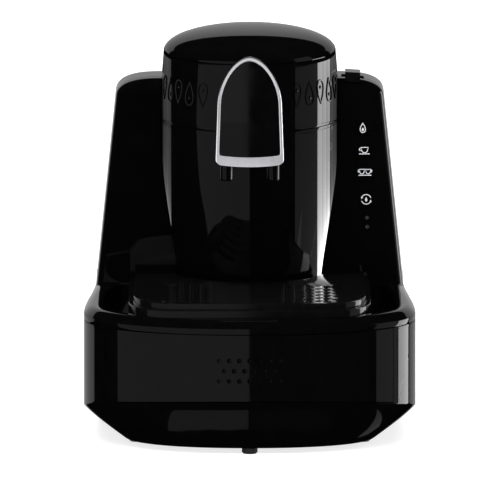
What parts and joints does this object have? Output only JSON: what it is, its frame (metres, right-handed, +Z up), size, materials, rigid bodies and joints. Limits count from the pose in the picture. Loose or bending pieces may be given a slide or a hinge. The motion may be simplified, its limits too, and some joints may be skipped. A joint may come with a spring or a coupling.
{
  "type": "electric turkish coffee maker",
  "caption": "Countertop electric Turkish coffee maker with a round brewing tower, hinged lid, twin-nozzle spout, height-adjustable cup platform, waste drawer and lift-out water tank.",
  "frame": {"origin": "under the middle of the base, on the plane that the rubber feet stand on", "axes": "+X to the machine's right as its user sees it, +Y to the back, +Z up"},
  "size_m": [0.232, 0.27, 0.2785],
  "materials": {
    "base_housing": "high-gloss black moulding",
    "bottom_plate": "fine matt black moulding",
    "rubber_feet": "soft black rubber",
    "bottom_screws": "brushed stainless steel",
    "inner_chassis": "fine matt black moulding",
    "deck": "high-gloss black moulding",
    "guide_posts": "brushed stainless steel",
    "cup_platform": "satin-gloss black moulding",
    "drawer_front": "high-gloss black moulding",
    "waste_tray": "fine matt black moulding",
    "rear_housing": "high-gloss black moulding",
    "back_panel": "fine matt black moulding",
    "housing_screws": "brushed stainless steel",
    "tower_shell": "high-gloss black moulding",
    "tower_collar": "high-gloss black moulding",
    "lid": "high-gloss black moulding",
    "lid_seal": "grey silicone",
    "lid_hinge_pin": "brushed stainless steel",
    "spout_housing": "high-gloss black moulding",
    "spout_plate": "high-gloss black moulding",
    "chrome_frame": "polished chrome plating",
    "left_nozzle": "fine matt black moulding",
    "right_nozzle": "fine matt black moulding",
    "manifold": "fine matt black moulding",
    "brew_pot": "brushed stainless steel",
    "heater_plate": "cast aluminium",
    "thermal_sensor": "brass cap",
    "valve_body": "turned brass",
    "valve_plunger": "brushed stainless steel",
    "valve_spring": "brushed stainless steel",
    "solenoid": "taped coil in a steel yoke",
    "pump": "grey lacquered casing",
    "pump_mounts": "soft black rubber",
    "inlet_hose": "translucent silicone",
    "outlet_hose": "translucent silicone",
    "tank_seat": "fine matt black moulding",
    "water_tank": "smoke-tinted clear plastic",
    "tank_lid": "high-gloss black moulding",
    "tank_lid_pin": "brushed stainless steel",
    "tank_valve": "white moulding",
    "tank_filter": "white moulding",
    "slow_key": "high-gloss black moulding",
    "one_cup_key": "high-gloss black moulding",
    "two_cup_key": "high-gloss black moulding",
    "clean_key": "high-gloss black moulding",
    "key_board": "green lacquered board",
    "led_lenses": "clear light guides",
    "power_board": "green lacquered board",
    "buzzer": "fine matt black moulding",
    "switch_frame": "fine matt black moulding",
    "switch_rocker": "high-gloss black moulding",
    "cord_gland": "black rubber bush",
    "spoon": "high-gloss black moulding"
  },
  "bodies": {
    "machine": {"base_housing": "base_housing", "bottom_plate": "bottom_plate", "rubber_feet": "rubber_feet", "bottom_screws": "bottom_screws", "inner_chassis": "inner_chassis", "deck": "deck", "guide_posts": "guide_posts", "rear_housing": "rear_housing", "back_panel": "back_panel", "housing_screws": "housing_screws", "tower_shell": "tower_shell", "tower_collar": "tower_collar", "lid_hinge_pin": "lid_hinge_pin", "spout_housing": "spout_housing", "spout_plate": "spout_plate", "chrome_frame": "chrome_frame", "left_nozzle": "left_nozzle", "right_nozzle": "right_nozzle", "manifold": "manifold", "brew_pot": "brew_pot", "heater_plate": "heater_plate", "thermal_sensor": "thermal_sensor", "valve_body": "valve_body", "valve_spring": "valve_spring", "solenoid": "solenoid", "pump": "pump", "pump_mounts": "pump_mounts", "inlet_hose": "inlet_hose", "outlet_hose": "outlet_hose", "tank_seat": "tank_seat", "key_board": "key_board", "led_lenses": "led_lenses", "power_board": "power_board", "buzzer": "buzzer", "switch_frame": "switch_frame", "cord_gland": "cord_gland"},
    "platform": {"cup_platform": "cup_platform"},
    "drawer": {"drawer_front": "drawer_front", "waste_tray": "waste_tray"},
    "coffee_lid": {"lid": "lid", "lid_seal": "lid_seal"},
    "tank": {"water_tank": "water_tank", "tank_filter": "tank_filter", "tank_lid_pin": "tank_lid_pin"},
    "tank_flap": {"tank_lid": "tank_lid"},
    "poppet": {"tank_valve": "tank_valve"},
    "plunger": {"valve_plunger": "valve_plunger"},
    "slow_button": {"slow_key": "slow_key"},
    "one_cup_button": {"one_cup_key": "one_cup_key"},
    "two_cup_button": {"two_cup_key": "two_cup_key"},
    "clean_button": {"clean_key": "clean_key"},
    "rocker": {"switch_rocker": "switch_rocker"},
    "measure": {"spoon": "spoon"}
  },
  "joints": [
    {"name": "lid_hinge", "type": "hinge", "parent": "machine", "child": "coffee_lid", "pos_m": [0, 0.0875, 0.257], "axis": [-1, 0, 0], "range_deg": [0, 95]},
    {"name": "drawer_slide", "type": "slide", "parent": "machine", "child": "drawer", "axis": [0, -1, 0], "range_m": [0, 0.12]},
    {"name": "platform_height", "type": "slide", "parent": "machine", "child": "platform", "axis": [0, 0, -1], "range_m": [0, 0.009]},
    {"name": "tank_lift", "type": "slide", "parent": "machine", "child": "tank", "axis": [0, 0, 1], "range_m": [0, 0.03]},
    {"name": "tank_lid_hinge", "type": "hinge", "parent": "tank", "child": "tank_flap", "pos_m": [0, 0.1284, 0.2263], "axis": [-1, 0, 0], "range_deg": [0, 95]},
    {"name": "tank_valve_lift", "type": "slide", "parent": "tank", "child": "poppet", "axis": [0, 0, 1], "range_m": [0, 0.003], "stiffness_N_per_m": 60, "springref_m": -0.002},
    {"name": "drain_valve", "type": "slide", "parent": "machine", "child": "plunger", "axis": [0, 0, -1], "range_m": [0, 0.004], "stiffness_N_per_m": 400, "springref_m": -0.002, "deforming": ["valve_spring"]},
    {"name": "slow_press", "type": "slide", "parent": "machine", "child": "slow_button", "axis": [0, 1, 0], "range_m": [0, 0.0008], "stiffness_N_per_m": 400},
    {"name": "one_cup_press", "type": "slide", "parent": "machine", "child": "one_cup_button", "axis": [0, 1, 0], "range_m": [0, 0.0008], "stiffness_N_per_m": 400},
    {"name": "two_cup_press", "type": "slide", "parent": "machine", "child": "two_cup_button", "axis": [0, 1, 0], "range_m": [0, 0.0008], "stiffness_N_per_m": 400},
    {"name": "clean_press", "type": "slide", "parent": "machine", "child": "clean_button", "axis": [0, 1, 0], "range_m": [0, 0.0008], "stiffness_N_per_m": 400},
    {"name": "power_switch", "type": "hinge", "parent": "machine", "child": "rocker", "pos_m": [0.06, 0.1305, 0.048], "axis": [-1, 0, 0], "range_deg": [0, 16]},
    {"name": "spoon_lift", "type": "slide", "parent": "machine", "child": "measure", "axis": [0, 0, 1], "range_m": [0, 0.1]}
  ]
}
